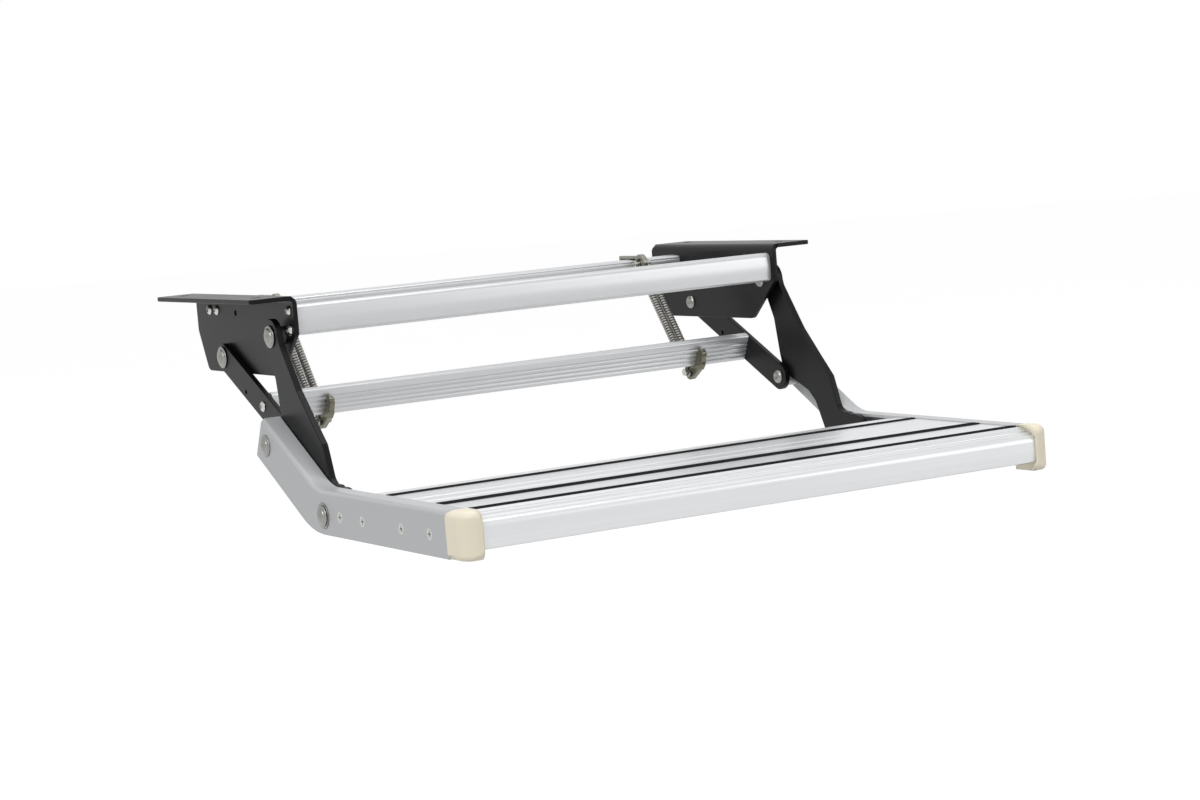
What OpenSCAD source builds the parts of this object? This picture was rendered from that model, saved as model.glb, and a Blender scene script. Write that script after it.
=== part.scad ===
// Pull-out entrance step for a caravan or camper, drawn in the out (standing) position.
// Millimetres. +X is to the right seen from the nose, -Y points out to the user, +Z is up.
// The origin lies in the middle of the four mounting holes, on the flanges' top face.

/* [Frame] */
// Clear width between the two side plates
inner_w = 492; // [440:1:520]
// Length of each side plate, front to rear
plate_len = 228; // [220:1:260]
// Height of each side plate below the mounting face
plate_h = 72; // [70:1:90]
// Sheet thickness of the side plates and their flanges
plate_t = 4; // [3:0.5:6]
// Width of each mounting flange, from the inside of its plate
flange_w = 43; // [41:1:56]
// Distance between the mounting holes, front to rear
hole_pitch_y = 170; // [150:1:176]
// Diameter of the mounting holes
hole_d = 9; // [8:0.5:10]

/* [Crossbars] */
// Width of the crossbar extrusion
bar_w = 27; // [25:0.5:28]
// Thickness of the crossbar extrusion
bar_t = 11; // [10.5:0.5:12]
// Wall of the crossbar extrusion
bar_wall = 1.8; // [1.5:0.1:2]
// Front crossbar, its middle front to rear
front_bar_y = -103; // [-106:1:-102]
// Rear crossbar, its middle front to rear
rear_bar_y = 72; // [68:1:80]
// Distance from the rear arms' top pivot down to the lower crossbar
lower_bar_s = 95; // [90:1:100]

/* [Linkage] */
// Rear pivot on the side plate, front to rear
pivot_a_y = 44; // [41:1:46]
// Rear pivot on the side plate, height
pivot_a_z = -57.5; // [-59:0.5:-56]
// Front pivot on the side plate, front to rear
pivot_b_y = -87; // [-88:1:-84]
// Front pivot on the side plate, height
pivot_b_z = -35; // [-37:1:-33]
// Pivot of the rear arm on the bracket, front to rear
pivot_c_y = -99; // [-101:1:-97]
// Pivot of the rear arm on the bracket, height
pivot_c_z = -128; // [-129:0.5:-126.5]
// Pivot of the front arm on the bracket, front to rear
pivot_d_y = -211; // [-213:1:-209]
// Pivot of the front arm on the bracket, height
pivot_d_z = -181; // [-183:1:-179]
// Thickness of the rear arms
rear_arm_t = 5; // [4:0.5:6]
// Thickness of the front arms
front_arm_t = 6; // [5:0.5:8]
// Width of the rear arms
rear_arm_w = 25; // [24:1:28]
// Diameter of the pivot pins
pin_d = 10; // [8:0.5:10]

/* [Tread] */
// Depth of the tread from the nose to its rear top edge
tread_d = 216; // [208:1:220]
// Height of the tread extrusion at the nose
nose_h = 29.5; // [28:0.5:31]
// Wall of the tread extrusion
tread_wall = 2.2; // [1.8:0.1:2.6]
// Height of the brackets' outer faces
bracket_h = 38; // [37:0.5:41]
// Sheet thickness of the brackets
bracket_t = 3; // [2.5:0.5:3]
// Width of the lip along the top of each bracket
lip_w = 17.8; // [17:0.2:22]
// Slope of the rear part of the brackets, degrees
bracket_slope = 28.5; // [27:0.5:30]
// How far the grip strips stand over the tread
strip_rise = 1.2; // [1:0.1:3]
// Wall of the end caps in front of the nose
cap_wall = 2.5; // [2:0.5:3]

/* [Springs] */
// Outer diameter of the springs
spring_od = 9.3; // [8.5:0.1:9.5]
// Wire of the springs
wire_d = 2.3; // [1.8:0.1:2.4]
// Curls drawn on each spring
spring_curls = 21; // [10:1:22]
// Place of each pair of springs, from the middle of the step
spring_x = 196; // [150:1:205]
// Thickness of the hook plates that hold the springs
hook_t = 5; // [4:0.5:6]

/* [Hidden] */

// Clearances
run_gap = 0.05;      // round a pin that turns, on the radius
side_gap = 0.3;      // between faces that turn past each other
plane_gap = 0.6;     // between the planes of the two arms and the bracket's lip
seat_gap = 0.1;      // between parts that are fixed together

// Planes from the inside out, as distances from the middle of the step
plate_in = inner_w / 2;
plate_out = plate_in + plate_t;
washer_a_t = 0.4;
rear_arm_in = plate_out + washer_a_t + 2 * side_gap;
rear_arm_out = rear_arm_in + rear_arm_t;
front_arm_in = rear_arm_out + plane_gap;
front_arm_out = front_arm_in + front_arm_t;
lip_in = front_arm_out + plane_gap;
bracket_out = lip_in + lip_w;
web_in = bracket_out - bracket_t;

// Points of the linkage as [y, z], and the directions between them
A = [pivot_a_y, pivot_a_z];
B = [pivot_b_y, pivot_b_z];
C = [pivot_c_y, pivot_c_z];
D = [pivot_d_y, pivot_d_z];
ac = (C - A) / norm(C - A);
db = (B - D) / norm(B - D);

// Crossbars
bar_end_gap = seat_gap;
front_bar = [front_bar_y, -8.5 - bar_w / 2];
rear_bar = [rear_bar_y, -10 - bar_t / 2];
lower_bar = A + lower_bar_s * ac;
lower_tilt = atan2(ac[1], ac[0]) + 180;
port_pitch = 8.5;
port_d = 4.2;
screw_d = 5;

// Pins and fasteners
pin_head_d = 20;
pin_head_h = 4.5;
pin_end_d = 13;
pin_end_h = 3;
spacer_c_d = 19;
spacer_d_d = 16;
button_d = 9.5;
button_h = 3;
countersunk_d = 10;

// Tread and brackets
bracket_z = D[1] + 2.5;
bend_y = D[0] + 1;
bend_r = 75;
bend_end = [bend_y + bend_r * sin(bracket_slope),
    bracket_z + bend_r * (1 - cos(bracket_slope))];
slope_dir = [cos(bracket_slope), sin(bracket_slope)];
tail_len = (C - bend_end) * slope_dir + 15.5;
lip_top = bracket_z + bracket_h / 2;
tread_top = lip_top - 1;
tread_rear = D[0] - 46;
tread_front = tread_rear - tread_d;
nose_z = tread_top - nose_h;
tread_z = nose_z + 2;
rear_lip = 19;
rear_lip_top = tread_z + 14;
nose_r = 6;
shoulder = 21;        // slope of the nose's shoulder, degrees
rear_drop = 2.1;      // how far the top falls at its rear edge
port_z = nose_z + 10;
tread_ports = [tread_rear + 13.3, tread_rear - 31, tread_rear - 104.7, tread_rear - 155.9];
strip_y = [tread_rear - 44, tread_rear - 138, tread_rear - 191];
strip_w = [7, 11, 8];
strip_depth = 3;
cap_in = bracket_out - 16;
cap_out = bracket_out + 0.8;
cap_front = tread_front - cap_wall;
cap_rear = tread_front + 29.2;
cap_bottom = bracket_z - bracket_h / 2 - 0.3;
cap_top = lip_top + 1;
cap_r = 16;
bracket_front = cap_rear + seat_gap;

// Springs: from the pin on the rear crossbar to the pin on the lower crossbar
hook_r = 9;
spring_pin_d = 5;
spring_top = [rear_bar[0] - 22, rear_bar[1] + 1.5];
spring_foot = lower_bar - 1.5 * ac - 22.5 * [ac[1], -ac[0]];
spring_dir = (spring_foot - spring_top) / norm(spring_foot - spring_top);
spring_len = norm(spring_foot - spring_top);
spring_side = spring_od / 2 + 0.4;
coil_r = (spring_od - wire_d) / 2;

$fn = 40;
fine = 24;

// Shared helpers

// Draws an outline given in [y, z] as a plate from x to x + t
module plate_at(x, t) {
    translate([x, 0, 0]) rotate([90, 0, 90]) linear_extrude(t) children();
}

// A round bar or bore along X through the point p
module bar_x(p, d, x0, x1) {
    translate([x0, p[0], p[1]]) rotate([0, 90, 0]) cylinder(d = d, h = x1 - x0);
}

module left() mirror([1, 0, 0]) children();

module pair() {
    children();
    left() children();
}

// A domed head whose flat face lies at x and whose dome points along +X
module dome_at(p, x, d, h) {
    edge = h * 0.25;
    rise = h - edge;
    ball_r = (d * d / 4 + rise * rise) / (2 * rise);
    half = asin(d / 2 / ball_r);
    translate([x, p[0], p[1]]) rotate([0, 90, 0]) rotate_extrude($fn = fine)
        polygon(concat([[0, 0], [d / 2, 0]],
            [for (k = [0:5]) [ball_r * sin(half * (1 - k / 5)),
                edge + rise - ball_r + ball_r * cos(half * (1 - k / 5))]]));
}

// Rounds the outer corners of an outline with ro and its inner corners with ri
module rounded(ro, ri = 0) {
    offset(r = -ri) offset(r = ri + ro) offset(r = -ro) children();
}

// Side plates

module side_outline() {
    half = plate_len / 2;
    rounded(8) polygon([[-half, 1], [half, 1], [half, -35], [half - 18, -plate_h],
        [-half + 45, -plate_h], [-half, -34]]);
}

module flange_section() {
    bend = plate_t + 3;
    difference() {
        union() {
            translate([plate_in, -plate_h - 1]) square([plate_t, plate_h + 1 - bend]);
            translate([plate_in + bend, -plate_t]) square([flange_w - bend, plate_t]);
            translate([plate_in + bend, -bend]) circle(r = bend);
        }
        translate([plate_in + bend, -bend]) circle(r = bend - plate_t);
        translate([plate_out, -bend - 20]) square([40, 20]);
        translate([plate_in + bend, -bend - 20]) square([40, 20 + bend - plate_t]);
    }
}

module side_plate() color([0.12, 0.12, 0.13]) difference() {
    intersection() {
        translate([0, plate_len / 2, 0]) rotate([90, 0, 0]) linear_extrude(plate_len)
            flange_section();
        union() {
            plate_at(plate_in - 1, plate_t + 2) side_outline();
            translate([plate_out, -plate_len, -plate_t - 4])
                cube([flange_w, 2 * plate_len, plate_t + 5]);
        }
        translate([0, 0, -plate_h - 5]) linear_extrude(plate_h + 10) rounded(5)
            translate([plate_in - 20, -plate_len / 2]) square([flange_w + 20, plate_len]);
    }
    for (y = [-hole_pitch_y / 2, hole_pitch_y / 2])
        translate([hole_x, y, -plate_t - 1]) cylinder(d = hole_d, h = plate_t + 2);
    for (p = [A, B]) bar_x(p, pin_d, plate_in - 1, plate_out + 1);
    for (p = frame_screw_points) bar_x(p, screw_d + 0.4, plate_in - 1, plate_out + 1);
    bar_x([19, -17], 5, plate_in - 1, plate_out + 1);
}
hole_x = plate_in + 0.6 * flange_w;

// Crossbars: one extrusion, ribbed on its first face, smooth and bowed on the other

module bar_section() {
    h = bar_w / 2;
    t = bar_t / 2;
    inner = bar_t - 2 * bar_wall - 1;
    difference() {
        hull() {
            for (v = [-h + 2, h - 2]) translate([t - 2, v]) circle(r = 2, $fn = fine);
            translate([-t + 3.8, -h + 3]) circle(r = 3, $fn = fine);
            translate([-t + 6, h - 5.5]) circle(r = 5.5, $fn = fine);
            polygon(concat([[0, 0]], [for (a = [-9:3:9])
                [-t + 50 * (1 - cos(a)), 50 * sin(a)]]));
        }
        for (v = [-h + 5.5, -h + 10, -h + 14.5, -h + 19])
            translate([t + 0.6, v]) circle(r = 1.5, $fn = 12);
        for (u = [-2.2, 2.2]) translate([u, -h - 0.4]) circle(r = 1.1, $fn = 12);
        for (v = [-port_pitch, 0, port_pitch]) translate([-0.5, v])
            circle(d = port_d, $fn = fine);
        for (v = [-port_pitch, 0]) translate([-0.5 - inner / 2, v + port_d / 2 + 0.8])
            square([inner, port_pitch - port_d - 1.6]);
    }
}

// The bar with its middle at p, turned so that its ribbed face looks along the angle a
module crossbar(p, a, len, flip = 0) color([0.78, 0.79, 0.80])
    plate_at(-len / 2, len) translate(p) rotate(a) mirror([0, flip]) bar_section();

module front_crossbar() crossbar(front_bar, 0, inner_w - 2 * bar_end_gap);
module rear_crossbar() crossbar(rear_bar, -90, inner_w - 2 * bar_end_gap);
module lower_crossbar()
    crossbar(lower_bar, 180 + lower_tilt, 2 * rear_arm_in - 2 * bar_end_gap, flip = 1);

// The screws that hold the front and rear crossbars between the side plates
frame_screw_points = [for (v = [-port_pitch, port_pitch]) each
    [front_bar + [-0.5, v], rear_bar + [v, 0.5]]];

module button_screw(p, face, depth) {
    dome_at(p, face, button_d, button_h);
    bar_x(p, screw_d - 1, face - depth, face);
}

module frame_screws() color([0.62, 0.61, 0.58]) pair()
    for (p = frame_screw_points) difference() {
        button_screw(p, plate_out, plate_t + 12);
        hex_socket(p, plate_out + button_h, 1.8);
    }

// The hexagon recess in a button head whose top lies at x
module hex_socket(p, x, depth) {
    translate([x - depth, p[0], p[1]]) rotate([0, 90, 0])
        cylinder(d = 4, h = depth + 1, $fn = 6);
}

// Rear arms

module rear_arm() color([0.13, 0.13, 0.14]) difference() {
    plate_at(rear_arm_in, rear_arm_t) hull() for (p = [A, C])
        translate(p) circle(d = rear_arm_w);
    bar_x(A, pin_d + 2 * run_gap, rear_arm_in - 1, rear_arm_out + 1);
    bar_x(C, pin_d, rear_arm_in - 1, rear_arm_out + 1);
    bar_x(lower_screw, screw_d + 0.4, rear_arm_in - 1, rear_arm_out + 1);
    bar_x(A + 56 * ac + 6 * [-ac[1], ac[0]], 4, rear_arm_in - 1, rear_arm_out + 1);
}
lower_screw = lower_bar - 0.5 * ac;

module arm_screws() color([0.70, 0.70, 0.68]) pair() difference() {
    button_screw(lower_screw, rear_arm_out, rear_arm_t + 12);
    hex_socket(lower_screw, rear_arm_out + button_h, 1.8);
}

// Front arms: a steel plate with a dog-leg front edge, a seat that rests on the rear
// arm's spacer when the step is out, and a round foot over the lower pivot

// A point given by its distance from D towards B and its distance forward of that line
function on_arm(s, f) = D + s * db + f * [-db[1], db[0]];

module front_arm_outline() difference() {
    rounded(4, 8) union() {
        translate(B) circle(r = 15.5);
        translate(D + [-2, 2]) circle(r = 19.5);
        polygon([on_arm(190, 15.3), on_arm(176, 9.5), on_arm(126, 6), on_arm(92, 8.5),
            on_arm(64, 11), on_arm(54, 7.5), on_arm(36, 0.5), on_arm(29, 1.3),
            on_arm(21, 10.3), on_arm(12, 8), D,
            on_arm(2, -17.5), on_arm(30, -33), on_arm(46, -29), on_arm(62, -25),
            on_arm(76, -27), on_arm(103, -41), on_arm(118, -46), on_arm(132, -39),
            on_arm(161, -22), on_arm(188, -15)]);
    }
    translate(C) circle(d = spacer_c_d + 2 * side_gap);
}

module front_arm() color([0.12, 0.12, 0.13]) difference() {
    plate_at(front_arm_in, front_arm_t) front_arm_outline();
    for (p = [B, D]) bar_x(p, pin_d + 2 * run_gap, front_arm_in - 1, front_arm_out + 1);
}

// Brackets: folded channel, web outside and lip inwards along the top

// The line at the height h over the bracket's middle line, as [y, z]. It runs on by more
// at both ends.
function bracket_line(h, more = 0) = concat([[bracket_front - more, bracket_z + h]],
    [for (k = [0:12]) let (a = bracket_slope * k / 12)
        [bend_y, bracket_z + bend_r] + (bend_r - h) * [sin(a), -cos(a)]],
    [bend_end + (tail_len + more) * slope_dir + h * [-slope_dir[1], slope_dir[0]]]);

// The side of the bracket between two such lines
module bracket_side(h0, h1, more = 0) {
    low = bracket_line(h0, more);
    polygon(concat(bracket_line(h1, more), [for (k = [len(low) - 1:-1:0]) low[k]]));
}

module bracket() color([0.68, 0.70, 0.72]) difference() {
    plate_at(lip_in, lip_w) bracket_side(-bracket_h / 2, bracket_h / 2);
    plate_at(lip_in - 1, web_in - lip_in + 1)
        bracket_side(-bracket_h, bracket_h / 2 - bracket_t, 2);
    for (p = [C, D]) bar_x(p, pin_d, web_in - 1, bracket_out + 1);
    for (y = tread_ports) countersink([y, port_z]);
}

// The countersunk hole of a tread screw in the bracket's web
module countersink(p) {
    bar_x(p, screw_d + 0.4, web_in - 1, bracket_out + 1);
    translate([bracket_out + 0.05, p[0], p[1]]) rotate([0, -90, 0])
        cylinder(d1 = countersunk_d + 0.3, d2 = screw_d, h = 2.7, $fn = fine);
}

module tread_screws() color([0.80, 0.80, 0.79]) pair()
    for (y = tread_ports) difference() {
        union() {
            bar_x([y, port_z], screw_d - 1, web_in - 14, bracket_out - 2);
            translate([bracket_out - 0.1, y, port_z]) rotate([0, -90, 0])
                cylinder(d1 = countersunk_d, d2 = screw_d - 1, h = 2.6, $fn = fine);
        }
        for (a = [0, 90]) translate([bracket_out, y, port_z]) rotate([a, 0, 0])
            cube([3.2, 5.4, 1.1], center = true);
    }

// Tread: one hollow extrusion with screw ports, grooves and slots for the grip strips

module tread_outline(grow = 0) offset(delta = grow) {
    rounded(2) polygon(concat([[tread_front + 0.8, nose_z], [tread_front + 34, nose_z],
        [tread_front + 38, tread_z], [tread_rear + rear_lip, tread_z],
        [tread_rear + rear_lip, rear_lip_top], [tread_rear, rear_lip_top],
        [tread_rear, tread_top - rear_drop], [tread_rear - 26, tread_top],
        [shoulder_y, tread_top]],
        [for (k = [0:6]) let (a = 90 + shoulder + (90 - shoulder) * k / 6)
            nose_c + nose_r * [cos(a), sin(a)]],
        [[tread_front, nose_z + 9]]));
}
nose_c = [tread_front + nose_r, tread_top - 12];
shoulder_y = nose_c[0] - nose_r * sin(shoulder)
    + (12 - nose_r * cos(shoulder)) / tan(shoulder);

// Height of the nose's shoulder at y
function shoulder_z(y) = tread_top - (shoulder_y - y) * tan(shoulder);

// One hollow of the extrusion between the webs at y0 and y1
module chamber(y0, y1, z1) {
    rounded(1) translate([y0, tread_z + tread_wall])
        square([y1 - y0, z1 - tread_z - tread_wall]);
}

module tread_section() difference() {
    union() {
        difference() {
            tread_outline();
            intersection() {
                tread_outline(-tread_wall);
                union() {
                    for (k = [0:3]) chamber(tread_webs[k + 1] + tread_wall / 2,
                        tread_webs[k] - tread_wall / 2, skin_z);
                    chamber(tread_front, tread_webs[4] - tread_wall / 2, skin_z);
                    chamber(tread_webs[0] + tread_wall / 2, tread_rear - 1, skin_z);
                }
            }
            chamber(tread_rear + 1, tread_ports[0] - 5, rear_lip_top - tread_wall);
        }
        intersection() {
            tread_outline();
            for (k = [0:2]) translate([strip_y[k] - strip_w[k] / 2 - 1 - tread_wall,
                tread_top - strip_depth - tread_wall])
                    square([strip_w[k] + 2 + 2 * tread_wall, strip_depth + tread_wall]);
        }
        for (y = tread_ports) translate([y, port_z]) circle(r = 4.4, $fn = fine);
    }
    for (y = tread_ports) translate([y, port_z]) circle(d = port_d, $fn = fine);
    for (k = [0:2]) strip_slot(k);
    for (y = groove_y) translate([y, tread_top + 0.2]) circle(r = 0.9, $fn = 12);
    for (k = [0:2]) let (y = shoulder_y - 4.5 - 5 * k)
        translate([y, shoulder_z(y) + 0.1]) circle(r = k == 1 ? 1 : 0.7, $fn = 12);
}
skin_z = tread_top - tread_wall - 0.7;
tread_webs = [tread_ports[1], (tread_ports[1] + tread_ports[2]) / 2, tread_ports[2],
    tread_ports[3], (tread_ports[3] + tread_front) / 2];
groove_y = [for (c = [strip_y[0] - 41, strip_y[0] - 66]) each [c - 1.8, c + 1.8]];

// The undercut slot of grip strip k
module strip_slot(k) {
    w = strip_w[k];
    translate([strip_y[k] - w / 2, tread_top - strip_depth]) square([w, strip_depth + 1]);
    translate([strip_y[k] - w / 2 - 1, tread_top - strip_depth]) square([w + 2, 1.4]);
}

module tread() color([0.80, 0.81, 0.82]) difference() {
    plate_at(-tread_end, 2 * tread_end) tread_section();
    pair() {
        nose_corner(0);
        // the seat of the bracket's lip
        translate([lip_in - seat_gap, cap_rear, lip_top - bracket_t - seat_gap])
            cube([lip_w, tread_d, bracket_t]);
    }
}
tread_end = web_in - 1;

// What is cut off each corner of the nose, seen from above, so that it follows its end cap
module nose_corner(gap) {
    r = cap_r - 4;
    translate([tread_end + gap - r, tread_front - gap + r, nose_z - 5])
        linear_extrude(nose_h + 10) difference() {
            translate([0, -r - 5]) square(r + 5);
            circle(r = r);
        }
}

// Rubber strips with a keyed foot, ending at the brackets' lips
module grip_strips() color([0.07, 0.07, 0.07]) for (k = [0:2]) {
    w = strip_w[k] - 2 * seat_gap;
    foot = strip_w[k] + 2 - 2 * seat_gap;
    plate_at(-lip_in + 1, 2 * lip_in - 2) translate([strip_y[k], tread_top]) union() {
        translate([-w / 2, -strip_depth + seat_gap])
            square([w, strip_depth + strip_rise - 1]);
        translate([-foot / 2, -strip_depth + seat_gap]) square([foot, 1.2]);
        hull() {
            translate([-w / 2, strip_rise - 1]) square([w, 0.1]);
            translate([-w / 2 + 1, strip_rise - 0.1]) square([w - 2, 0.1]);
        }
    }
}

// End caps: hollow mouldings over the nose's corners, flush with the brackets

module cap_body() intersection() {
    translate([0, 0, cap_bottom - 1]) linear_extrude(cap_top - cap_bottom + 2) hull() {
        translate([cap_out - cap_r, cap_front + cap_r]) circle(r = cap_r);
        translate([cap_in, cap_front]) square(1);
        translate([cap_in, cap_rear - 1]) square([cap_out - cap_in, 1]);
    }
    plate_at(cap_in, cap_out - cap_in) {
        rounded(8) translate([cap_front, cap_bottom])
            square([cap_rear - cap_front, cap_top - cap_bottom]);
        translate([cap_rear - 12, cap_bottom]) square(12);
    }
}

module end_cap() color([0.87, 0.84, 0.74]) difference() {
    cap_body();
    difference() {
        plate_at(cap_in - 1, tread_end + seat_gap - cap_in + 1) tread_outline(seat_gap);
        nose_corner(seat_gap);
    }
    translate([cap_in + 3, cap_front + 9, cap_bottom - 1])
        cube([cap_out - cap_in - 11.3, 40, tread_z - seat_gap - cap_bottom]);
}

// Pivot pins, each with a domed head outside and a swaged end inside

module pins_a() color([0.66, 0.65, 0.61]) pair() {
    dome_at(A, rear_arm_out + side_gap, pin_head_d, pin_head_h);
    bar_x(A, pin_d, plate_in, rear_arm_out + side_gap);
    swaged_end(A, plate_in);
}

// The swaged inner end of a pin, whose flat face lies at x
module swaged_end(p, x) {
    left() dome_at(p, -x, pin_end_d, pin_end_h);
}

module washers_a() color([0.55, 0.55, 0.54]) pair()
    ring(A, 20, pin_d + 2 * run_gap, plate_out + side_gap, rear_arm_in - side_gap);

// A round spacer or washer along X
module ring(p, od, id, x0, x1) difference() {
    bar_x(p, od, x0, x1);
    bar_x(p, id, x0 - 1, x1 + 1);
}

module pins_b() color([0.66, 0.65, 0.61]) pair() {
    dome_at(B, front_arm_out + side_gap, pin_head_d, pin_head_h);
    bar_x(B, pin_d, plate_in, front_arm_out + side_gap);
    swaged_end(B, plate_in);
}

module bushes_b() color([0.30, 0.30, 0.31]) pair()
    ring(B, spacer_d_d, pin_d, plate_out, front_arm_in - side_gap);

// The rear arm's lower pivot is open in the model: its outer pin and spacer ride on the
// bracket, its inner end rides on the rear arm, and their faces stay side_gap apart
module pins_c_outer() color([0.66, 0.65, 0.61]) pair() {
    dome_at(C, bracket_out, pin_head_d - 1, pin_head_h);
    bar_x(C, pin_d, web_in, bracket_out);
    bar_x(C, spacer_c_d, rear_arm_out + plane_gap, web_in);
}

module pins_c_inner() color([0.66, 0.65, 0.61]) pair() {
    swaged_end(C, rear_arm_in);
    bar_x(C, pin_d, rear_arm_in, rear_arm_out + plane_gap - side_gap);
}

module pins_d() color([0.66, 0.65, 0.61]) pair() {
    dome_at(D, bracket_out + washer_d_t, pin_head_d - 2, pin_head_h);
    bar_x(D, pin_d, front_arm_in - side_gap, bracket_out + washer_d_t);
    swaged_end(D, front_arm_in - side_gap);
}
washer_d_t = 1;

module washers_d() color([0.50, 0.50, 0.49]) pair()
    ring(D, 22, pin_d, bracket_out, bracket_out + washer_d_t);

module spacers_d() color([0.30, 0.30, 0.31]) pair()
    ring(D, spacer_d_d, pin_d, front_arm_out + side_gap, web_in);

// Hook plates that clip round the crossbars and carry the springs' pins

module hook_plate() {
    plate_at(spring_x - hook_t / 2, hook_t) children();
}

module upper_hooks() color([0.50, 0.47, 0.32]) pair() difference() {
    hook_plate() difference() {
        rounded(1.5, 2) union() {
            translate(spring_top) circle(r = hook_r);
            translate([spring_top[0], rear_bar[1] + bar_t / 2])
                square([rear_bar[0] + bar_w / 2 - spring_top[0] + 4, 3.4]);
            translate([rear_bar[0] + bar_w / 2, rear_bar[1] - bar_t / 2 - 2])
                square([4, bar_t + 4]);
            translate([spring_top[0], rear_bar[1] - bar_t / 2 - 2])
                square([rear_bar[0] - bar_w / 2 - spring_top[0] + 4, bar_t + 4]);
        }
        translate(rear_bar) square([bar_w + 2 * seat_gap, bar_t + 2 * seat_gap],
            center = true);
    }
    bar_x(spring_top, spring_pin_d, spring_x - hook_t, spring_x + hook_t);
}

// In the lower bar's own directions: first along the arm, then square to it
module lower_hooks() color([0.50, 0.47, 0.32]) pair() difference() {
    hook_plate() translate(lower_bar) rotate(lower_tilt) difference() {
        rounded(1.5, 2) union() {
            hull() {
                translate(foot_local) circle(r = hook_r - 1);
                translate([-bar_t / 2 - 6.5, -6]) circle(r = 5);
            }
            hull() for (v = [-9, 3]) translate([-bar_t / 2 - 5.5, v]) circle(r = 5);
            hull() {
                translate(foot_local) circle(r = 4);
                translate([bar_t / 2 + 2.5, -bar_w / 2 + 1]) circle(r = 2.5);
            }
        }
        square([bar_t + 2 * seat_gap, bar_w + 2 * seat_gap], center = true);
    }
    bar_x(spring_foot, spring_pin_d, spring_x - hook_t, spring_x + hook_t);
}
foot_local = [(spring_foot - lower_bar) * -ac, (spring_foot - lower_bar) * [ac[1], -ac[0]]];

module spring_pin(p) {
    bar_x(p, spring_pin_d, spring_x - spring_side - 3, spring_x + spring_side + 3);
    for (s = [-1, 1]) translate([spring_x + s * (spring_side + 3), p[0], p[1]])
        rotate([0, 90, 0]) cylinder(d = spring_pin_d + 2, h = 1.2, center = true);
}

module upper_spring_pins() color([0.62, 0.62, 0.60]) pair() spring_pin(spring_top);
module lower_spring_pins() color([0.62, 0.62, 0.60]) pair() spring_pin(spring_foot);

// Springs: one wire each, with an eye round the pin at both ends

eye_r = (spring_pin_d + wire_d) / 2 + 0.5;
coil_start = hook_r + 1;
ring_step = 8;
eye_step = 45;

// A point of the wire, as [along, across, out] from the upper pin
eye_points = [for (a = [-225:eye_step:0]) [eye_r * cos(a), eye_r * sin(a), 0]];
coil_points = [for (k = [0:ring_step * spring_curls]) let (a = 90 + 360 * k / ring_step)
    [coil_start + (spring_len - 2 * coil_start) * k / (ring_step * spring_curls),
        coil_r * sin(a), coil_r * cos(a)]];
wire_points = concat(eye_points, [[eye_r + 1.6, coil_r * 0.75, 0]], coil_points,
    [[spring_len - eye_r - 1.6, coil_r * 0.75, 0]],
    [for (k = [len(eye_points) - 1:-1:0])
        [spring_len - eye_points[k][0], eye_points[k][1], 0]]);

// The wire's points placed in the part, for the spring at x
function placed(w, x) = [x + w[2],
    spring_top[0] + w[0] * spring_dir[0] - w[1] * spring_dir[1],
    spring_top[1] + w[0] * spring_dir[1] + w[1] * spring_dir[0]];

function unit(v) = v / norm(v);
function way(p, i) = unit(p[min(i + 1, len(p) - 1)] - p[max(i - 1, 0)]);

// The directions across the wire at each point, carried along without twist
function carried(p) = [for (i = 0, n = unit(cross(way(p, 0), [1, 0, 0])); i < len(p);
    i = i + 1, n = i < len(p) ? unit(n - (n * way(p, i)) * way(p, i)) : n) n];

module wire(p) {
    side = carried(p);
    m = len(p);
    polyhedron(
        points = [for (i = [0:m - 1], k = [0:5]) p[i] + wire_d / 2 * (cos(60 * k) * side[i]
            + sin(60 * k) * cross(way(p, i), side[i]))],
        faces = concat([[for (k = [5:-1:0]) k]], [[for (k = [0:5]) (m - 1) * 6 + k]],
            [for (i = [0:m - 2], k = [0:5]) let (j = (k + 1) % 6)
                [i * 6 + k, i * 6 + j, (i + 1) * 6 + j, (i + 1) * 6 + k]]),
        convexity = 10);
}

// Least distance of the wire to itself, measured between points at least half a curl apart
wire_gap = min([for (i = [0:len(wire_points) - 1 - ring_step],
    j = [i + ring_step - 2:min(i + 3 * ring_step, len(wire_points) - 1)])
        norm(wire_points[i] - wire_points[j])]) - wire_d;
echo(wire_gap = wire_gap);

module springs() color([0.55, 0.55, 0.54]) pair()
    for (s = [-1, 1]) wire([for (w = wire_points) placed(w, spring_x + s * spring_side)]);

module side_plate_left() left() side_plate();
module side_plate_right() side_plate();
module rear_arm_left() left() rear_arm();
module rear_arm_right() rear_arm();
module front_arm_left() left() front_arm();
module front_arm_right() front_arm();
module bracket_left() left() bracket();
module bracket_right() bracket();
module end_cap_left() left() end_cap();
module end_cap_right() end_cap();

side_plate_left();
side_plate_right();
front_crossbar();
rear_crossbar();
lower_crossbar();
rear_arm_left();
rear_arm_right();
front_arm_left();
front_arm_right();
bracket_left();
bracket_right();
tread();
grip_strips();
end_cap_left();
end_cap_right();
pins_a();
pins_b();
pins_c_outer();
pins_c_inner();
pins_d();
washers_a();
bushes_b();
spacers_d();
washers_d();
frame_screws();
arm_screws();
tread_screws();
upper_hooks();
lower_hooks();
upper_spring_pins();
lower_spring_pins();
springs();
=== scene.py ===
from math import cos, pi, radians, sin

import bmesh
import bpy
from mathutils import Matrix, Vector
from mathutils.bvhtree import BVHTree


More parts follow.
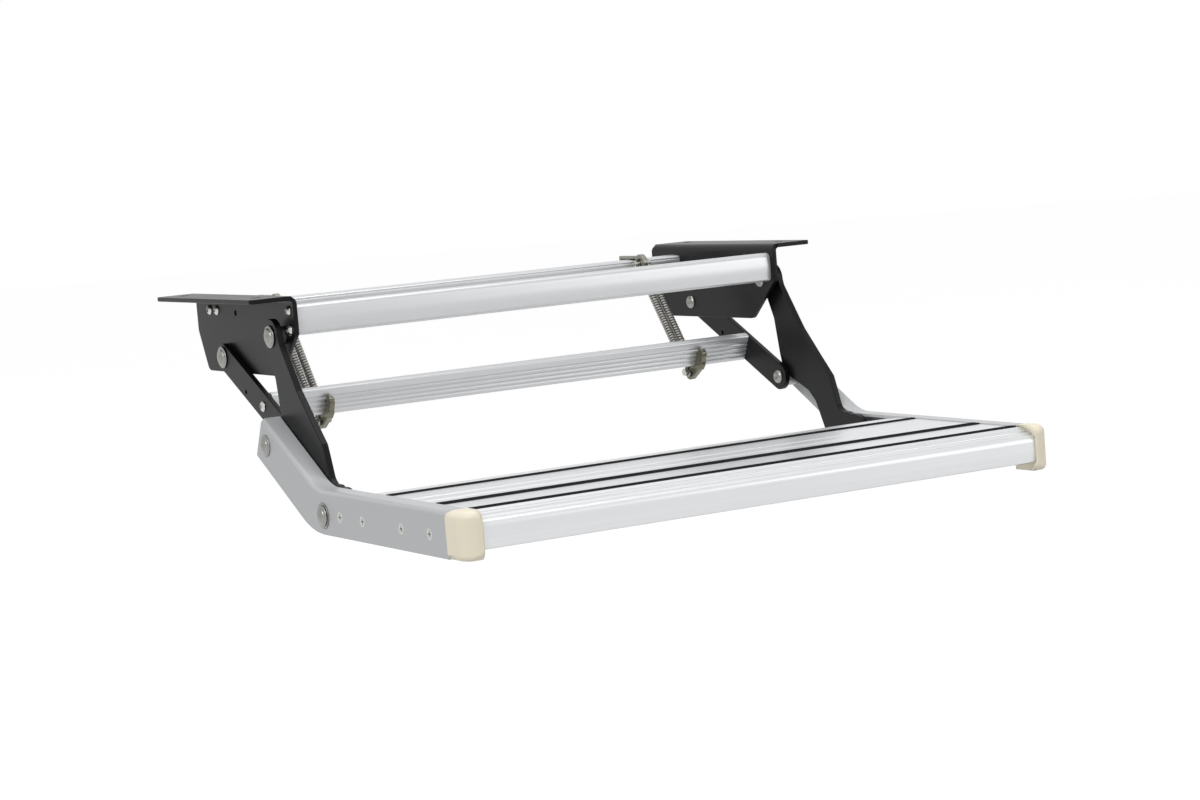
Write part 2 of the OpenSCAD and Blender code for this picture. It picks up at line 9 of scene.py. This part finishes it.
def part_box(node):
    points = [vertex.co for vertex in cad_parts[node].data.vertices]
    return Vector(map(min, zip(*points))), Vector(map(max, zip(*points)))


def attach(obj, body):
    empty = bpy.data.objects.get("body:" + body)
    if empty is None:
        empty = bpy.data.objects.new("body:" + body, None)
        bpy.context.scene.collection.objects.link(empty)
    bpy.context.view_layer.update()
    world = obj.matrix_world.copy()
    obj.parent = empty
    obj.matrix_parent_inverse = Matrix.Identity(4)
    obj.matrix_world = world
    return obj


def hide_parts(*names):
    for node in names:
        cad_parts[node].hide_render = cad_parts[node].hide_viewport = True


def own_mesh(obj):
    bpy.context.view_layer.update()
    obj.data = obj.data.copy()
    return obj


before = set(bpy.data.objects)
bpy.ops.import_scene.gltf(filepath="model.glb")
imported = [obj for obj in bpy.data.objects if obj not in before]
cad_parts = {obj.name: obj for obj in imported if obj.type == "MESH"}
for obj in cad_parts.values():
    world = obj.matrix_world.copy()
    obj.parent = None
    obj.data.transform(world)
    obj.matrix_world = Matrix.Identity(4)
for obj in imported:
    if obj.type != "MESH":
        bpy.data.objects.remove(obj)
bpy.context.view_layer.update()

# Camera
# Low and to the left of the nose, a little above the tread, with a long lens.
# Its place and directions were fitted to the photograph.

camera_place = (-1.243, -2.439, 0.124)
camera_ahead = Vector((0.4827, 0.8708, -0.0936)).normalized()
camera_right = Vector((0.8679, -0.4899, -0.0817))


def placed(name, data):
    """A new object in the scene, at the origin and unturned."""
    thing = bpy.data.objects.new(name, data)
    bpy.context.collection.objects.link(thing)
    return thing


camera = placed("camera", bpy.data.cameras.new("camera"))
camera.data.sensor_width = 36
camera.data.lens = 87.06
camera.data.clip_end = 60
camera_right = (camera_right - camera_right.dot(camera_ahead) * camera_ahead).normalized()
camera_axes = Matrix((camera_right, camera_right.cross(camera_ahead), -camera_ahead)).transposed()
camera.matrix_world = Matrix.Translation(camera_place) @ camera_axes.to_4x4()
bpy.context.scene.camera = camera

# Studio
# White all round, one softbox on the left, a weaker one on the right and a wide
# one overhead. The floor lies well below, as the step hangs from a sill.

floor_level = -0.52
floor_radius = 14
floor_shade = 0.55
floor_glow = 0.78
surround_light = 0.38
lamps_aim = Vector((0, -0.2, -0.1))

bpy.context.scene.view_settings.view_transform = "Standard"


def seen_directly(tree):
    """1 for rays from the camera, from gloss and through glass, 0 for soft light."""
    path = tree.nodes.new("ShaderNodeLightPath")
    total = path.outputs["Is Camera Ray"]
    for kind in ("Is Glossy Ray", "Is Transmission Ray"):
        most = tree.nodes.new("ShaderNodeMath")
        most.operation = "MAXIMUM"
        tree.links.new(total, most.inputs[0])
        tree.links.new(path.outputs[kind], most.inputs[1])
        total = most.outputs[0]
    return total


def white_light(tree, kind, strength):
    """A white Background or Emission of that strength."""
    light = tree.nodes.new(kind)
    light.inputs["Color"].default_value = (1, 1, 1, 1)
    light.inputs["Strength"].default_value = strength
    return light.outputs[0]


def lit_and_seen(tree, lit, seen, output):
    """Sends one shader to soft light and another to whatever sees it directly."""
    choice = tree.nodes.new("ShaderNodeMixShader")
    tree.links.new(seen_directly(tree), choice.inputs[0])
    tree.links.new(lit, choice.inputs[1])
    tree.links.new(seen, choice.inputs[2])
    tree.links.new(choice.outputs[0], tree.nodes.new(output).inputs["Surface"])


def blank_finish(name):
    """An empty material and its node tree."""
    finish = bpy.data.materials.new(name)
    finish.use_nodes = True
    finish.node_tree.nodes.clear()
    return finish, finish.node_tree


def mesh_of(bm, name):
    """Turns a bmesh into a mesh and frees it."""
    mesh = bpy.data.meshes.new(name)
    bm.to_mesh(mesh)
    bm.free()
    return mesh


world = bpy.data.worlds.new("white_surround")
bpy.context.scene.world = world
world.use_nodes = True
world.node_tree.nodes.clear()
lit_and_seen(world.node_tree,
             white_light(world.node_tree, "ShaderNodeBackground", surround_light),
             white_light(world.node_tree, "ShaderNodeBackground", 1.0),
             "ShaderNodeOutputWorld")

floor_bm = bmesh.new()
bmesh.ops.create_circle(floor_bm, cap_ends=True, segments=64, radius=floor_radius)
bmesh.ops.translate(floor_bm, verts=floor_bm.verts, vec=(0, 0, floor_level))
studio_floor = placed("studio_floor", mesh_of(floor_bm, "studio_floor"))
pale_floor, floor_tree = blank_finish("pale_floor")
matt = floor_tree.nodes.new("ShaderNodeBsdfDiffuse")
matt.inputs["Color"].default_value = (floor_shade, floor_shade, floor_shade, 1)
both = floor_tree.nodes.new("ShaderNodeAddShader")
floor_tree.links.new(matt.outputs[0], both.inputs[0])
floor_tree.links.new(white_light(floor_tree, "ShaderNodeEmission", floor_glow), both.inputs[1])
lit_and_seen(floor_tree, matt.outputs[0], both.outputs[0], "ShaderNodeOutputMaterial")
studio_floor.data.materials.append(pale_floor)

for name, place, size, watts in (("left_softbox", (-1.9, -1.5, 1.5), 1.1, 31),
                                 ("right_softbox", (1.7, -1.9, 0.5), 1.3, 10),
                                 ("top_softbox", (0.2, -0.1, 2.1), 1.5, 17)):
    lamp = bpy.data.lights.new(name, "AREA")
    lamp.shape = "SQUARE"
    lamp.size = size
    lamp.energy = watts
    turn = (lamps_aim - Vector(place)).to_track_quat("-Z", "Y")
    placed(name, lamp).matrix_world = Matrix.Translation(place) @ turn.to_matrix().to_4x4()

# Side plates
# Two 4 mm steel sheets, each folded outwards at the top into the flange that
# is bolted under the sill. Powder coated black after folding.

merge_gap = 2e-6
same_place = 1e-6
flat_angle = radians(0.6)
sharp_angle = radians(35)
# An arc in a right angle lies at most 0.293 of its radius off the faces it joins.
most_off = 0.32


def noise(tree, vector, scale, detail=2):
    """A cloudy pattern, from 0 to 1."""
    cloud = tree.nodes.new("ShaderNodeTexNoise")
    cloud.inputs["Scale"].default_value = scale
    cloud.inputs["Detail"].default_value = detail
    tree.links.new(vector, cloud.inputs["Vector"])
    return cloud.outputs["Fac"]


def spread_over(tree, value, low, high, start=0.0, end=1.0):
    """Maps a value that runs from start to end onto low to high."""
    ramp = tree.nodes.new("ShaderNodeMapRange")
    ramp.inputs["From Min"].default_value = start
    ramp.inputs["From Max"].default_value = end
    ramp.inputs["To Min"].default_value = low
    ramp.inputs["To Max"].default_value = high
    tree.links.new(value, ramp.inputs["Value"])
    return ramp.outputs["Result"]


def surface_on(tree, base, metallic, rough, spread, tint, patch=9.0):
    """A Principled surface whose colour and roughness drift gently over the piece. Comes
    with the piece's own coordinates and with its colour, for finer patterns."""
    skin = tree.nodes.new("ShaderNodeBsdfPrincipled")
    skin.inputs["Metallic"].default_value = metallic
    place = tree.nodes.new("ShaderNodeTexCoord").outputs["Object"]
    drift = noise(tree, place, patch, 4)
    shade = tree.nodes.new("ShaderNodeMix")
    shade.data_type = "RGBA"
    shade.inputs["A"].default_value = (*[part * (1 - tint) for part in base], 1)
    shade.inputs["B"].default_value = (*[min(1, part * (1 + tint)) for part in base], 1)
    tree.links.new(drift, shade.inputs["Factor"])
    tree.links.new(shade.outputs["Result"], skin.inputs["Base Color"])
    gloss = spread_over(tree, drift, rough - spread, rough + spread)
    tree.links.new(gloss, skin.inputs["Roughness"])
    tree.links.new(skin.outputs[0], tree.nodes.new("ShaderNodeOutputMaterial").inputs["Surface"])
    return skin, place, shade.outputs["Result"]


def relief(tree, pattern, skin, height):
    """Raises the surface by a pattern, by at most a height in metres."""
    bump = tree.nodes.new("ShaderNodeBump")
    bump.inputs["Strength"].default_value = 1.0
    bump.inputs["Distance"].default_value = height
    tree.links.new(pattern, bump.inputs["Height"])
    tree.links.new(bump.outputs["Normal"], skin.inputs["Normal"])


def coat(name, base, rough, peel_size, peel_height, mirror=0.5):
    """Paint, powder or rubber: an even colour with a fine orange-peel surface."""
    finish, tree = blank_finish(name)
    skin, place, _ = surface_on(tree, base, metallic=0.0, rough=rough, spread=0.04, tint=0.05)
    skin.inputs["Specular IOR Level"].default_value = mirror
    relief(tree, noise(tree, place, 1 / peel_size), skin, peel_height)
    return finish


def merged_copy(node):
    """A CAD solid's loose triangles, joined into one bmesh."""
    bm = bmesh.new()
    bm.from_mesh(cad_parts[node].data)
    bmesh.ops.remove_doubles(bm, verts=bm.verts, dist=merge_gap)
    return bm


def eased(bm, edges, radius, steps):
    """Rounds these edges. A corner thrown off its surface is put back on it, and corners
    left in one place are joined."""
    before = BVHTree.FromBMesh(bm)
    bmesh.ops.bevel(bm, geom=edges, offset=radius, offset_type="OFFSET", segments=steps,
                    profile=0.5, affect="EDGES", clamp_overlap=False, material=-1)
    for corner in bm.verts:
        on_surface, _, _, gap = before.find_nearest(corner.co)
        if gap > most_off * radius:
            corner.co = on_surface
    bmesh.ops.remove_doubles(bm, verts=bm.verts, dist=same_place)


def fitted(mesh, body, finish, node, flat_faces=True):
    """Puts a mesh in the scene, under its own name, as the piece that stands for a CAD node."""
    for face in mesh.polygons:
        face.use_smooth = True
    mesh.materials.clear()
    mesh.materials.append(finish)
    part = placed(mesh.name, mesh)
    if flat_faces:
        part.modifiers.new("even_faces", "WEIGHTED_NORMAL").weight = 60
    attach(part, body)
    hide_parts(node)
    return part


def finished_part(node, body, finish, edge, steps=2, shaped=None, shortest=0.0):
    """A merged copy of a CAD solid, its sharp edges eased as on the real part."""
    bm = merged_copy(node)
    bmesh.ops.dissolve_limit(bm, angle_limit=flat_angle, verts=bm.verts, edges=bm.edges)
    if shaped:
        shaped(bm)
    sharp = [line for line in bm.edges if len(line.link_faces) == 2
             and line.calc_face_angle(0) > sharp_angle and line.calc_length() >= shortest]
    eased(bm, sharp, edge, steps)
    fitted(mesh_of(bm, node + "_finished"), body, finish, node)


black_powder_coat = coat("black_powder_coat", (0.0042, 0.0042, 0.0048), rough=0.34,
                         peel_size=0.0016, peel_height=1.1e-5, mirror=0.15)
for side in ("left", "right"):
    finished_part("side_plate_" + side, "frame", black_powder_coat,
                  edge=0.0006, steps=3)

# Crossbars
# Hollow drawn aluminium bar with ribs on one face, satin anodised. Two are
# screwed between the side plates and the third joins the rear arms.


def anodised(name, base, rough, metallic):
    """Satin anodised extrusion: a fine noise, drawn out along X into die lines."""
    finish, tree = blank_finish(name)
    skin, place, colour = surface_on(tree, base, metallic, rough, spread=0.03, tint=0.02)
    along = tree.nodes.new("ShaderNodeMapping")
    along.inputs["Scale"].default_value = (4, 900, 900)
    tree.links.new(place, along.inputs["Vector"])
    lines = noise(tree, along.outputs["Vector"], 1.0, 3)
    streak = tree.nodes.new("ShaderNodeMix")
    streak.data_type = "RGBA"
    streak.blend_type = "MULTIPLY"
    streak.inputs["Factor"].default_value = 1.0
    tree.links.new(colour, streak.inputs["A"])
    tree.links.new(spread_over(tree, lines, 0.965, 1.0, start=0.3, end=0.7), streak.inputs["B"])
    tree.links.new(streak.outputs["Result"], skin.inputs["Base Color"])
    relief(tree, lines, skin, 6e-6)
    return finish


anodised_bar = anodised("anodised_bar", (0.62, 0.63, 0.64), rough=0.32, metallic=0.5)
for bar, body in (("front_crossbar", "frame"), ("rear_crossbar", "frame"),
                  ("lower_crossbar", "rear_arms")):
    finished_part(bar, body, anodised_bar, edge=0.00025)

# Frame and arm screws
# Zinc plated button-head screws with a hexagon socket, driven into the ports
# of the crossbars.


def plated(name, base, rough, mottle, grain=260.0, metallic=1.0, tint=0.12):
    """Plated steel: metal with a fine mottled bloom."""
    finish, tree = blank_finish(name)
    skin, place, _ = surface_on(tree, base, metallic, rough, mottle, tint, grain)
    relief(tree, noise(tree, place, 6 * grain), skin, 5e-6)
    return finish


bright_zinc = plated("bright_zinc", (0.50, 0.50, 0.48), rough=0.24, mottle=0.08)
finished_part("frame_screws", "frame", bright_zinc, edge=0.0002)
finished_part("arm_screws", "rear_arms", bright_zinc, edge=0.0002)

# Rear arms
# Straight 5 mm steel links with black powder coat, on a pivot at both ends.
# The lower crossbar is screwed between them.

for side in ("left", "right"):
    finished_part("rear_arm_" + side, "rear_arms", black_powder_coat,
                  edge=0.0006, steps=3)

# Front arms
# 6 mm steel plates with a bent front edge, cut out where they come to rest on
# the rear arms' lower spacers. Bushes keep them clear of the side plates.

dull_bush = plated("dull_bush", (0.16, 0.16, 0.165), rough=0.45, mottle=0.08)
for side in ("left", "right"):
    finished_part("front_arm_" + side, "front_arms", black_powder_coat,
                  edge=0.0007, steps=3)
finished_part("bushes_b", "frame", dull_bush, edge=0.0003)
finished_part("spacers_d", "step", dull_bush, edge=0.0003)

# Tread
# One hollow aluminium extrusion with a rounded nose, fine drainage grooves and
# keyed slots for the grip strips. Satin anodised.

anodised_tread = anodised("anodised_tread", (0.75, 0.76, 0.77), rough=0.34, metallic=0.5)
finished_part("tread", "step", anodised_tread, edge=0.0003)

# Grip strips
# Three black rubber strips pressed into the tread's slots, each with small ribs
# along its length.

rib_pitch = 0.0018
rib_depth = 0.0005
furrow_from = 0.32
furrow_to = 0.68
level_gap = 1e-5


def ribbed(bm):
    """Cuts fine furrows along the top of each strip."""
    top = max(corner.co.z for corner in bm.verts)

    def lands():
        """Each face on top of a strip, with its lowest and highest y."""
        for face in bm.faces:
            if min(corner.co.z for corner in face.verts) > top - level_gap:
                across = [corner.co.y for corner in face.verts]
                yield face, min(across), max(across)

    furrows = []
    for _, low, high in lands():
        count = int((high - low) / rib_pitch)
        pitch = (high - low) / count
        furrows += [(low + (k + furrow_from) * pitch, low + (k + furrow_to) * pitch)
                    for k in range(count)]
    for y in [line for furrow in furrows for line in furrow]:
        near = [face for face, low, high in lands() if low < y < high]
        cut = set(near) | {part for face in near for part in (*face.edges, *face.verts)}
        bmesh.ops.bisect_plane(bm, geom=list(cut), dist=1e-7, plane_co=(0, y, 0),
                               plane_no=(0, 1, 0))
    floors = [face for face, _, _ in lands()
              if any(start < face.calc_center_median().y < end for start, end in furrows)]
    sunk = bmesh.ops.extrude_discrete_faces(bm, faces=floors)["faces"]
    bmesh.ops.translate(bm, verts=list({corner for face in sunk for corner in face.verts}),
                        vec=(0, 0, -rib_depth))


black_rubber = coat("black_rubber", (0.026, 0.026, 0.028), rough=0.75,
                    peel_size=0.0009, peel_height=2.5e-5, mirror=0.0)
finished_part("grip_strips", "step", black_rubber, edge=0.00015, shaped=ribbed)

# Brackets
# 3 mm steel, folded once along the top and curved with the arm, painted satin
# light grey. Four countersunk screws hold each to the tread's ports.

bracket_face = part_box("bracket_right")[1].x
bracket_sheet = 0.003
fold_radius = 0.0042
line_gap = 2e-4
# The rims of the holes have shorter facets than this, and stay sharp.
hole_facet = 0.0007


def soft_fold(bm):
    """The pressed fold along the top: wide outside, tight inside."""
    for at, radius, up in ((bracket_face, fold_radius, 1),
                           (bracket_face - bracket_sheet, fold_radius - bracket_sheet, -1)):
        fold = []
        for line in bm.edges:
            if (len(line.link_faces) != 2 or line.calc_length() < hole_facet
                    or any(abs(abs(corner.co.x) - at) > line_gap for corner in line.verts)):
                continue
            normals = [face.normal for face in line.link_faces]
            level, upright = sorted(normals, key=lambda normal: abs(normal.x))
            if abs(level.x) < 0.1 and abs(upright.x) > 0.9 and up * level.z > 0.5:
                fold.append(line)
        eased(bm, fold, radius, 6)


satin_grey = coat("satin_grey", (0.50, 0.515, 0.525), rough=0.32,
                  peel_size=0.0013, peel_height=7e-6)
for side in ("left", "right"):
    finished_part("bracket_" + side, "step", satin_grey, edge=0.0005,
                  shaped=soft_fold, shortest=hole_facet)
cross_screw = plated("cross_screw", (0.50, 0.50, 0.485), rough=0.22, mottle=0.08)
finished_part("tread_screws", "step", cross_screw, edge=0.00015)

# End caps
# Cream moulded plastic with soft corners, pushed over the nose's ends. Each is
# the block with its corners rounded, hollowed as the CAD solid is.

cap_corner = 0.016
cap_top_rim = 0.0065
cap_under_rim = 0.005
cap_rear_edge = 0.0012


def moulded(name, base, rough):
    """Moulded plastic: a little light passes under its faintly grained surface."""
    finish, tree = blank_finish(name)
    skin, place, _ = surface_on(tree, base, metallic=0.0, rough=rough, spread=0.05, tint=0.03,
                                patch=30.0)
    skin.inputs["Subsurface Weight"].default_value = 0.25
    skin.inputs["Subsurface Radius"].default_value = (0.004, 0.003, 0.0015)
    skin.inputs["Subsurface Scale"].default_value = 1.0
    relief(tree, noise(tree, place, 700), skin, 8e-6)
    return finish


def lies(line, axis, level):
    """Whether an edge lies at that level of that axis."""
    return all(abs(getattr(corner.co, axis) - level) < level_gap for corner in line.verts)


def rounded_block(low, high, outside, inside):
    """A block between two corners, rounded as the cap's outer faces are."""
    bm = bmesh.new()
    bmesh.ops.create_cube(bm, size=1)
    bmesh.ops.scale(bm, verts=bm.verts, vec=high - low)
    bmesh.ops.translate(bm, verts=bm.verts, vec=(low + high) / 2)
    corner = [line for line in bm.edges if lies(line, "x", outside) and lies(line, "y", low.y)]
    eased(bm, corner, cap_corner, 10)
    for level, radius in ((high.z, cap_top_rim), (low.z, cap_under_rim)):
        rim = [line for line in bm.edges if lies(line, "z", level)
               and not lies(line, "y", high.y) and not lies(line, "x", inside)]
        eased(bm, rim, radius, 7)
    rear = [line for line in bm.edges if lies(line, "x", outside) and lies(line, "y", high.y)]
    eased(bm, rear, cap_rear_edge, 3)
    bmesh.ops.recalc_face_normals(bm, faces=bm.faces)
    return bm


def as_mesh(thing, *spent):
    """The mesh that a thing and its modifiers make. The thing and what it used then go."""
    bpy.context.view_layer.update()
    mesh = bpy.data.meshes.new_from_object(
        thing.evaluated_get(bpy.context.evaluated_depsgraph_get()))
    for used in (thing, *spent):
        bpy.data.objects.remove(used)
    return mesh


cream_moulding = moulded("cream_moulding", (0.92, 0.85, 0.68), rough=0.40)
for side in ("left", "right"):
    node = "end_cap_" + side
    low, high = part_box(node)
    outside, inside = (high.x, low.x) if side == "right" else (low.x, high.x)
    block = placed(node + "_block", mesh_of(rounded_block(low, high, outside, inside), "block"))
    solid = placed(node + "_solid", mesh_of(merged_copy(node), "solid"))
    common = block.modifiers.new("hollow", "BOOLEAN")
    common.operation = "INTERSECT"
    common.solver = "EXACT"
    common.object = solid
    cap_mesh = as_mesh(block, solid)
    cap_mesh.name = node + "_moulded"
    fitted(cap_mesh, "step", cream_moulding, node)

# Pivot pins
# Cold-headed steel pins: a flat rim, a raised dome with a small pip, and a
# swaged inner end. Dull zinc plate, with plain washers.

pin_r = 0.005
spacer_r = 0.0095
head_t = 0.0045
swaged_r = 0.0065
swaged_t = 0.003
side_gap = 0.0003
edge_round = 0.0003
shank_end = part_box("pins_c_inner")[1].x
plate_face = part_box("side_plate_right")[0].x
rear_arm_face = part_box("rear_arm_right")[0].x
front_arm_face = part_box("front_arm_right")[0].x
dull_zinc = plated("dull_zinc", (0.27, 0.27, 0.255), rough=0.34, mottle=0.10, grain=300.0)


def swaged_end(x):
    """A pin's profile at its spread inner end, from the dimple out to the shank at x."""
    shares = ((0.62, 0), (0.70, 0.22), (1, 0.40), (0.96, 0.62), (0.6, 0.9), (0.12, 1), (0, 1))
    end = [(x - depth * swaged_t, width * swaged_r) for depth, width in shares]
    return end + [(x, pin_r)]


def spacer(x, end):
    """The profile of a pin's spacer, from its rounded inner edge at x to its end."""
    return [(x, 0), (x, spacer_r - edge_round), (x + edge_round, spacer_r), (end, spacer_r),
            (end, pin_r)]


def pin_head(node):
    """A pin's profile from the shank out over its head: rim, shoulder, dome and pip."""
    low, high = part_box(node)
    x = high.x - head_t
    r = (high.z - low.z) / 2
    rim = 0.30 * head_t
    dome_r = 0.74 * r
    foot = 0.0005
    rise = 0.56 * head_t
    points = [(x, pin_r), (x, r - edge_round), (x + edge_round, r), (x + rim - 0.0004, r),
              (x + rim, r - 0.0005), (x + rim + 0.0001, dome_r + 0.0007),
              (x + rim + foot, dome_r)]
    for k in range(1, 7):
        slope = 0.5 * pi * k / 7
        points.append((x + rim + foot + (rise - foot) * sin(slope),
                       dome_r * cos(slope) ** 0.75))
    return points + [(x + rim + rise, 0.0021), (x + 0.97 * head_t, 0.0018),
                     (x + head_t, 0.0011), (x + head_t, 0)]


def pins(node, body, profile):
    """Turns a profile of (distance along X, radius) into a pair of pins."""
    low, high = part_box(node)
    middle = (low + high) / 2
    bm = bmesh.new()
    ring = [bm.verts.new((x, middle.y + r, middle.z)) for x, r in profile]
    line = [bm.edges.new(pair) for pair in zip(ring, ring[1:])]
    bmesh.ops.spin(bm, geom=ring + line, cent=(0, middle.y, middle.z), axis=(1, 0, 0),
                   angle=2 * pi, steps=48, use_merge=True)
    bmesh.ops.mirror(bm, geom=bm.verts[:] + bm.edges[:] + bm.faces[:], matrix=Matrix(),
                     merge_dist=-1, axis="X")
    bmesh.ops.remove_doubles(bm, verts=bm.verts, dist=same_place)
    bmesh.ops.recalc_face_normals(bm, faces=bm.faces)
    fitted(mesh_of(bm, node + "_turned"), body, dull_zinc, node)


pins("pins_a", "frame", swaged_end(plate_face) + pin_head("pins_a"))
pins("pins_b", "frame", swaged_end(plate_face) + pin_head("pins_b"))
pins("pins_c_outer", "step",
     spacer(front_arm_face, bracket_face - bracket_sheet) + pin_head("pins_c_outer"))
pins("pins_c_inner", "rear_arms",
     swaged_end(rear_arm_face) + [(shank_end, pin_r), (shank_end, 0)])
pins("pins_d", "step", swaged_end(front_arm_face - side_gap) + pin_head("pins_d"))
finished_part("washers_a", "frame", dull_zinc, edge=0.0001, steps=1)
finished_part("washers_d", "step", dull_zinc, edge=0.0002)

# Hook plates and spring pins
# 5 mm steel plates in olive passivated zinc that clip round the crossbars and carry the
# pins for the springs. The upper ones are paler; the lower ones' darker olive is painted shade.

hook_sheet = 0.005
# The lower plates' olive is darkened below the upper plates' as painted shade.
olive_zinc = plated("olive_zinc", (0.15, 0.145, 0.105), rough=0.28, mottle=0.10, grain=120.0,
                    metallic=0.85, tint=0.3)
pale_olive_zinc = plated("pale_olive_zinc", (0.26, 0.255, 0.22), rough=0.32, mottle=0.10, grain=120.0,
                    metallic=0.9, tint=0.25)
finished_part("upper_hooks", "frame", pale_olive_zinc, edge=0.0005)
finished_part("lower_hooks", "rear_arms", olive_zinc, edge=0.0005)
finished_part("upper_spring_pins", "frame", bright_zinc, edge=0.0003)
finished_part("lower_spring_pins", "rear_arms", bright_zinc, edge=0.0003)

# Springs
# Two tension springs at each end, one on each side of the hook plates, close-wound
# from 2.2 mm spring steel wire, with an eye round the pin at both ends.

wire_d = 0.0022
coil_r = 0.0028
eye_r = 0.0041
curls = 36
curl_steps = 16
upper_leg = 0.0175
lower_leg = 0.0120
hook_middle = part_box("upper_hooks")[1].x - hook_sheet / 2
from_middle = 0.0042


def pin_centre(node):
    """The middle of a pair of spring pins, half way between the two sides."""
    low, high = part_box(node)
    return Vector((0, (low.y + high.y) / 2, (low.z + high.z) / 2))


top_pin = pin_centre("upper_spring_pins")
low_pin = pin_centre("lower_spring_pins")
down = (low_pin - top_pin).normalized()
across = Vector((0, -down.z, down.y))
reach = (low_pin - top_pin).length


def spring_path():
    """The wire's middle line, as (along, across, out) from the upper pin."""
    half = [(eye_r * cos(radians(turn)), eye_r * sin(radians(turn)), 0)
            for turn in range(225, -1, -15)]
    half.append((eye_r + 0.0016, -0.75 * coil_r, 0))
    wound_length = reach - upper_leg - lower_leg
    turns = []
    for k in range(curl_steps * curls + 1):
        turn = radians(-90 + 360 / curl_steps * k)
        along = upper_leg + wound_length * k / (curl_steps * curls)
        turns.append((along, coil_r * sin(turn), coil_r * cos(turn)))
    back = [(reach - along, aside, 0) for along, aside, _ in reversed(half)]
    return half + turns + back


drawn_wire = plated("drawn_wire", (0.30, 0.295, 0.28), rough=0.36, mottle=0.08, grain=500.0,
                    metallic=0.85)
wire = bpy.data.curves.new("springs_wire", "CURVE")
wire.dimensions = "3D"
wire.bevel_depth = wire_d / 2
wire.bevel_resolution = 2
wire.use_fill_caps = True
path = spring_path()
for side in (-1, 1):
    for offset in (-from_middle, from_middle):
        spring = wire.splines.new("POLY")
        spring.points.add(len(path) - 1)
        for point, (along, aside, out) in zip(spring.points, path):
            at = top_pin + along * down + aside * across
            point.co = (side * (hook_middle + offset + out), at.y, at.z, 1)
springs_mesh = as_mesh(placed("springs_wire", wire))
springs_mesh.name = "springs_wound"
springs_wound = fitted(springs_mesh, "springs", drawn_wire, "springs",
                       flat_faces=False)
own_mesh(springs_wound)
